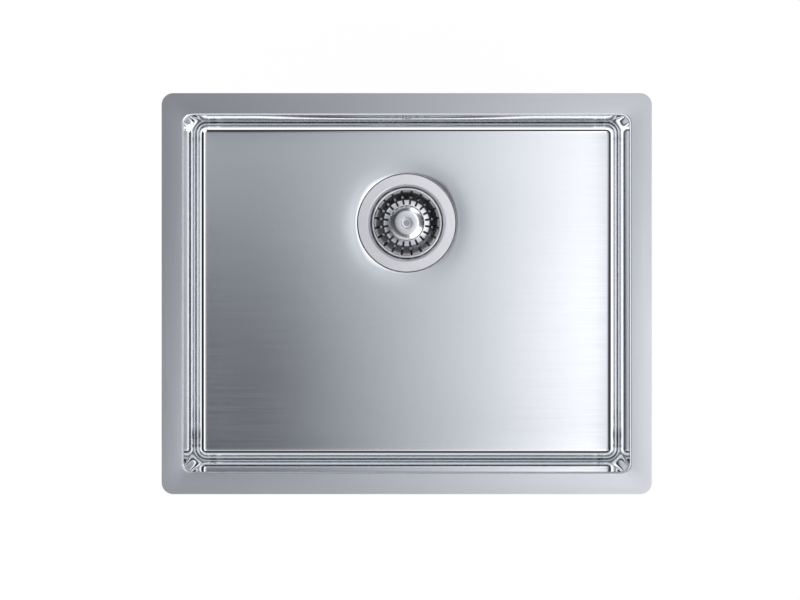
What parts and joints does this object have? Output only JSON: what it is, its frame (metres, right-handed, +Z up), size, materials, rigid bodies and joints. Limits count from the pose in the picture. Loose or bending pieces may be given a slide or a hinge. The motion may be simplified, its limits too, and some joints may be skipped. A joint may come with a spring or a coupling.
{
  "type": "undermount kitchen sink",
  "caption": "Undermount kitchen sink: pressed steel bowl with a flat flange, basket waste with a lift-out strainer plug, and a piped overflow.",
  "frame": {"origin": "centre of the bowl's mouth, in the plane of the flange's upper face", "axes": "+X to the right along the bowl's length, +Y to the rear, where the overflow is, +Z up out of the bowl"},
  "size_m": [0.55, 0.45, 0.299],
  "materials": {
    "bowl_steel": "satin flange, polished walls",
    "damping_pad": "matte bitumen sheet",
    "waste_steel": "satin",
    "basket_steel": "polished",
    "screw_steel": "turned",
    "clip_steel": "rolled band",
    "insert_brass": "turned",
    "foam_gasket": "closed-cell foam",
    "black_rubber": "matte",
    "black_plastic": "moulded",
    "white_plastic": "moulded",
    "hose_plastic": "moulded, ribbed"
  },
  "bodies": {
    "sink": {"sink_bowl": "bowl_steel", "floor_damping_pad": "damping_pad", "left_damping_pad": "damping_pad", "right_damping_pad": "damping_pad", "waste_cup": "waste_steel", "flange_gasket": "foam_gasket", "body_gasket": "black_rubber", "waste_body": "white_plastic", "insert_nut": "insert_brass", "centre_screw": "screw_steel", "overflow_gasket": "foam_gasket", "overflow_housing": "white_plastic", "overflow_insert": "insert_brass", "overflow_screw": "screw_steel", "overflow_hose": "hose_plastic", "hose_clips": "clip_steel", "clip_screws": "screw_steel"},
    "ring": {"catch_ring": "black_rubber"},
    "plug": {"basket_cup": "basket_steel", "basket_knob": "basket_steel", "knob_screw": "screw_steel", "stem_socket": "black_plastic", "basket_seal": "black_rubber"}
  },
  "joints": [
    {"name": "basket_lift", "type": "slide", "parent": "sink", "child": "ring", "axis": [0, 0, 1], "range_m": [0, 0.26]},
    {"name": "basket_turn", "type": "hinge", "parent": "ring", "child": "plug", "pos_m": [0, 0.08, -0.23], "axis": [0, 0, 1], "continuous": true}
  ]
}
